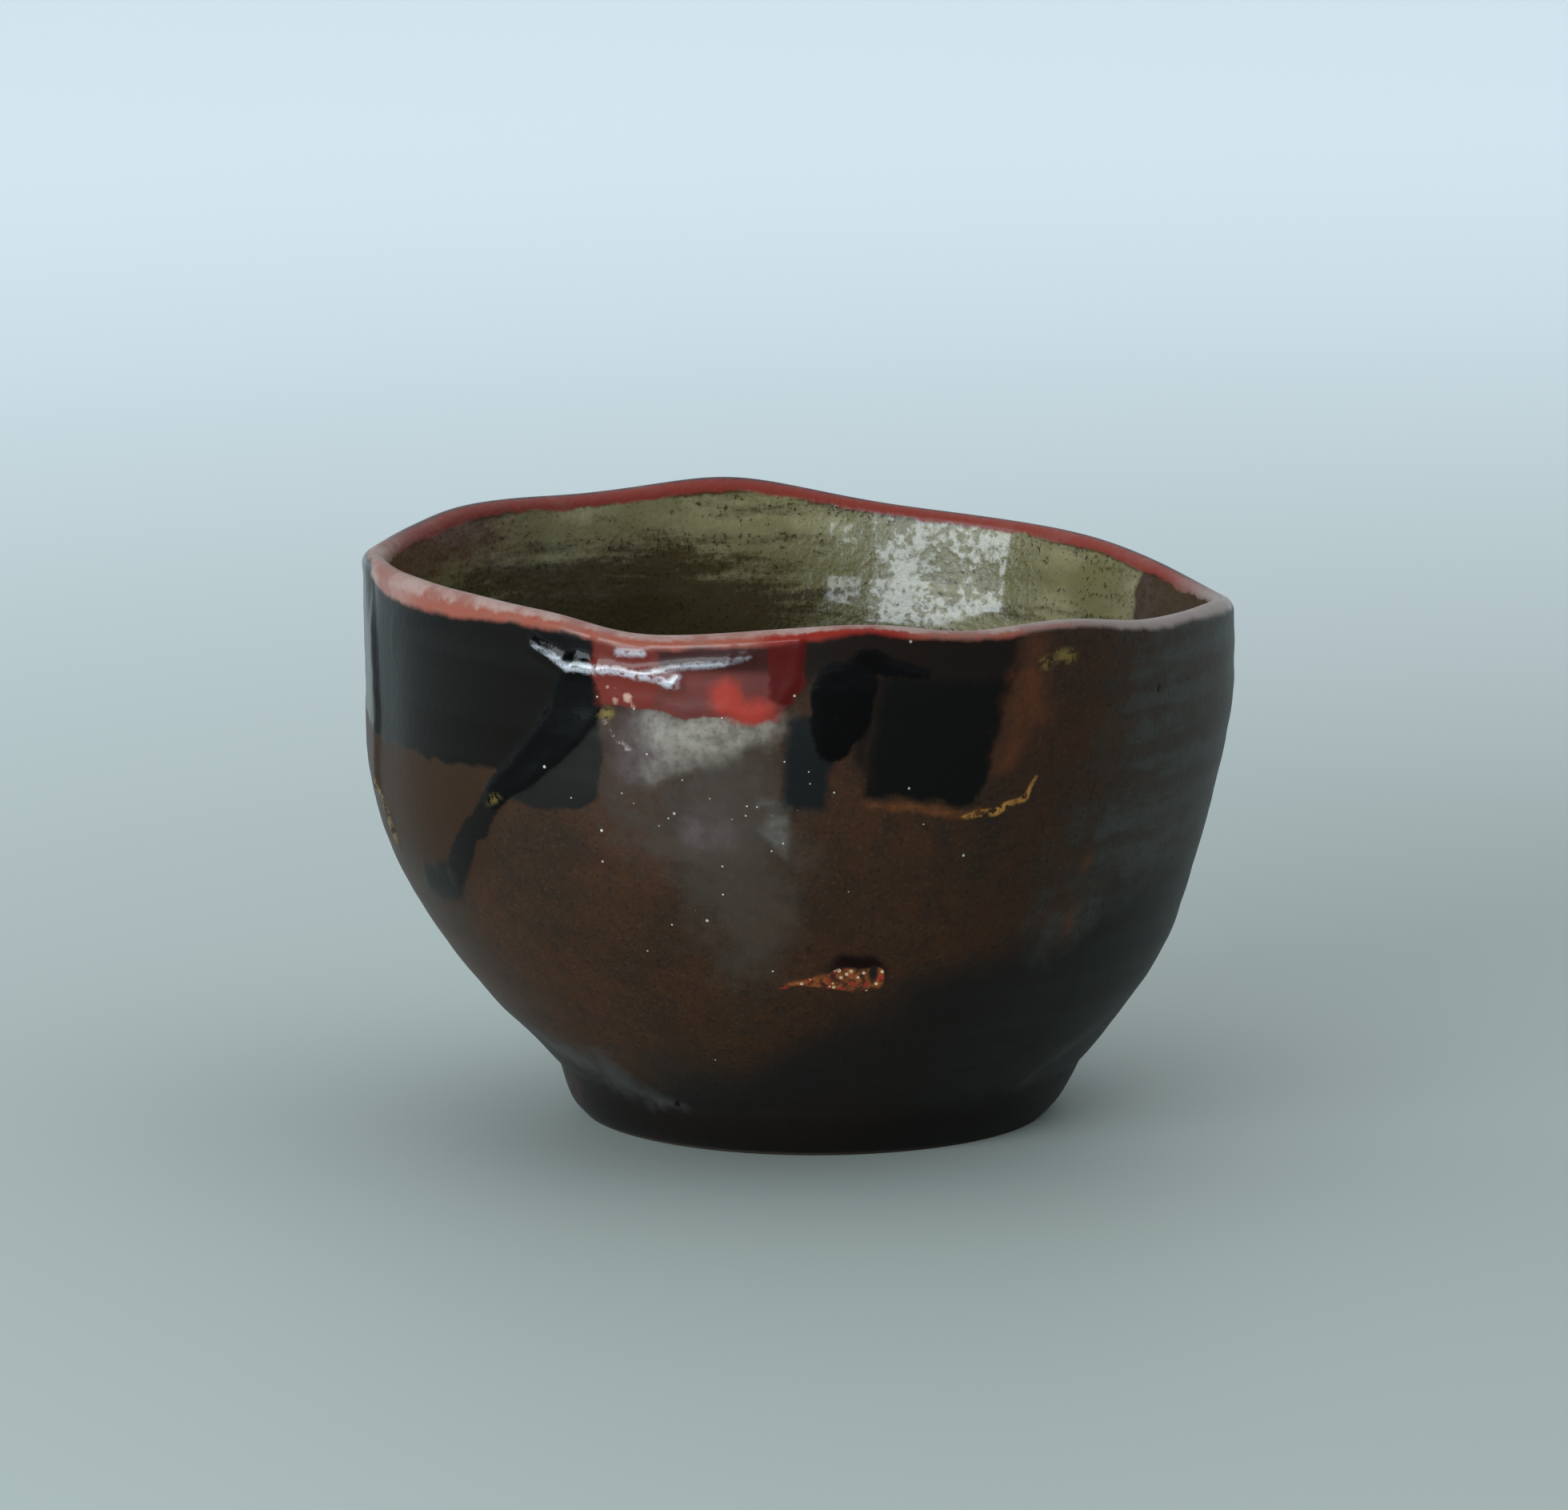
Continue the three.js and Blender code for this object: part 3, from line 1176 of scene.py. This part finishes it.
def insideGlaze():
    glaze = Glaze("celadon_glaze")
    height, round = glaze.height, glaze.round()
    past = glaze.measure("pastLip")
    flow = glaze.noise(2.6, detail=4, stretch=(0.2, 0.2, 1), roughness=0.62)
    cloud, fine = glaze.noise(13, stretch=(0.5, 0.5, 1)), glaze.noise(0.75, roughness=0.75)
    mottle, grain = glaze.mottle("patches"), glaze.mottle("grain")
    colour = glaze.mix(fade(cloud, 0.35, 0.65), insideColours["olive"], insideColours["pale"])
    # brown shows through in level streaks, most of all low down and on the left
    left = fade(-glaze.x, *insidePlaces["left"])
    low = fade(height, *insidePlaces["low"])
    brown = flow * 0.5 + cloud * 0.3 + fine * 0.2 + low * (0.04 + 0.24 * left) + left * 0.05
    colour = glaze.mix(fade(brown, 0.5, 0.68) * 0.9, colour, insideColours["dark"])
    specks = fade(fine + (flow - 0.5) * 0.25, 0.58, 0.67)
    colour = glaze.mix(specks * 0.8, colour, insideColours["speck"])
    # red-brown glaze at the right end, and a wash of it at the left
    edge = (mottle - 0.5) * 5
    right = fade(round, *insidePlaces["brownStart"])
    right = right * (1 - fade(round + edge, *insidePlaces["brownEnd"]))
    right = right * fade(height + edge * 2, *insidePlaces["brownUp"])
    colour = glaze.mix(right * 0.95, colour, insideColours["brown"])
    wash = fade(-round, *insidePlaces["washStart"]) * (1 - fade(-round, *insidePlaces["washEnd"]))
    wash = wash * (1 - fade(past + edge, *insidePlaces["washDown"]))
    colour = glaze.mix(wash * 0.8, colour, insideColours["redBrown"])
    pooled = 1 - fade(height, *insidePlaces["pool"])
    colour = glaze.mix(pooled * 0.5, colour, insideColours["dark"])
    # a dark line, and then the lip's own colours over its edge
    width = lipDepth["inside"] + (mottle - 0.5) * 2.4
    dark = fade(past - width, -0.6, 0) * (1 - fade(past - width, 0.1, 0.7)) * fade(flow, 0.4, 0.6)
    colour = glaze.mix(dark * 0.8, colour, insideColours["speck"])
    lip = 1 - fade(past - width, -0.3, 0.35)
    colour = glaze.mix(lip, colour, lipColour(glaze, round, past, width))
    roughness = 0.12 + 0.12 * cloud + 0.2 * lip
    # small waves and grain break up what it mirrors
    bump = 0.35 * mottle + 0.15 * grain + 0.05 * fine
    patches = 0.12 + 0.88 * fade(mottle * 0.45 + grain * 0.55, 0.46, 0.56)
    coat = 0.6 * patches * (1 - 0.9 * lip) * (1 - 0.6 * right) * (1 - 0.4 * left)
    return glaze.finish(colour, roughness, specular=0.13, bump=bump, coat=coat)


def buildBowl():
    points, pastLip = bowlSurface()
    points, measures = addRelief(points, pastLip)
    bowl = bpy.data.objects.new("glazed_bowl", meshOf(points, pastLip, measures))
    bpy.context.scene.collection.objects.link(bowl)
    bowl.data.materials.append(outsideGlaze())
    bowl.data.materials.append(insideGlaze())
    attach(bowl, "root")
    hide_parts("bowl")
    print("bowl:", len(bowl.data.polygons), "faces")


# A pale tabletop, grey-green round the bowl and paler blue further off
stage = {
    "near": (0.345, 0.385, 0.36),
    "far": (0.84, 0.93, 0.98),
    "from": (110, -130),  # mm: where it is darkest
    "fade": (60, 1250),  # mm from there
    "radius": 6,  # metres
    "corners": 64,
}


def buildStage():
    turns = [2 * pi * i / stage["corners"] for i in range(stage["corners"])]
    edge = [(stage["radius"] * cos(turn), stage["radius"] * sin(turn), 0) for turn in turns]
    mesh = bpy.data.meshes.new("tabletop")
    mesh.from_pydata(edge, [], [range(stage["corners"])])
    tabletop = bpy.data.objects.new("tabletop", mesh)
    bpy.context.scene.collection.objects.link(tabletop)
    paper = Glaze("pale_paper")
    x, y = stage["from"]
    away = paper.lengthOf(paper.x - x, paper.y - y)
    colour = paper.mix(fade(away, *stage["fade"]), stage["near"], stage["far"])
    mesh.materials.append(paper.finish(colour, roughness=0.6, specular=0.3))


# Where each window stands: degrees round from the front and up, metres away, its width and height
# in metres, and its brightness in watts
windows = {
    "windowLeft": {"at": (-40, 12.5), "away": 1.7, "size": (1.4, 0.62), "watts": 36},
    "windowFront": {"at": (-8.5, 17.5), "away": 1.9, "size": (0.35, 0.3), "watts": 3},
}
daylight = (0.84, 0.95, 1)
litAt = (0, 0, 0.05)  # metres: where the windows face

# The room's walls and ceiling, darker on the side that the camera stands on and a little to its left
room = {
    "horizon": (0.44, 0.49, 0.5),
    "zenith": (1.14, 1.25, 1.32),
    "fade": (0.1, 0.9),
    "dark": (0.07, 0.075, 0.075),
    "darkAt": -15,
    "darkFade": (-0.1, 0.8),
}


def placeOf(azimuth, elevation, away):
    a, e = radians(azimuth), radians(elevation)
    return Vector((sin(a) * cos(e), -cos(a) * cos(e), sin(e))) * away


def addLights():
    middle = Vector(litAt)
    for name, window in windows.items():
        lamp = bpy.data.lights.new(name, "AREA")
        lamp.shape = "RECTANGLE"
        lamp.size, lamp.size_y = window["size"]
        lamp.energy = window["watts"]
        lamp.color = daylight
        holder = bpy.data.objects.new(name, lamp)
        holder.location = middle + placeOf(*window["at"], window["away"])
        holder.rotation_euler = (middle - holder.location).to_track_quat("-Z", "Y").to_euler()
        bpy.context.scene.collection.objects.link(holder)
    world = bpy.data.worlds.new("soft_room")
    world.use_nodes = True
    nodes = Nodes(world.node_tree)
    right, back, up = nodes.split(nodes.node("TexCoord", out="Generated"))
    dark = placeOf(room["darkAt"], 0, 1)
    towards = right * dark.x + back * dark.y
    colour = nodes.mix(fade(up, *room["fade"]), room["horizon"], room["zenith"])
    colour = nodes.mix(fade(towards, *room["darkFade"]), colour, room["dark"])
    background = nodes.node("Background", {}, {"Color": colour, "Strength": 1})
    nodes.node("OutputWorld", {}, {"Surface": background})
    bpy.context.scene.world = world


def addCamera():
    aim = Vector(photo["aim"]) * mm
    position = aim + placeOf(0, photo["elevation"], photo["distance"] * mm)
    # the lens points a little off the bowl, so that it shows where it does in the photograph
    right = Vector((1, 0, 0))
    up = right.cross((aim - position).normalized())
    x, y = photo["aimAt"]
    shown = aim - right * (x - photo["width"] / 2) * photo["mmPerPixel"] * mm
    shown += up * (y - photo["height"] / 2) * photo["mmPerPixel"] * mm
    lens = bpy.data.cameras.new("photo_view")
    lens.sensor_fit = "HORIZONTAL"
    lens.sensor_width = photo["sensor"]
    lens.lens = photo["sensor"] * photo["distance"] / photo["mmPerPixel"] / photo["width"]
    camera = bpy.data.objects.new("photo_view", lens)
    camera.location = position
    camera.rotation_euler = (shown - position).to_track_quat("-Z", "Y").to_euler()
    bpy.context.scene.collection.objects.link(camera)
    bpy.context.scene.camera = camera


buildBowl()
buildStage()
addLights()
addCamera()
bpy.context.scene.view_settings.view_transform = "Standard"
print("lights and camera set")
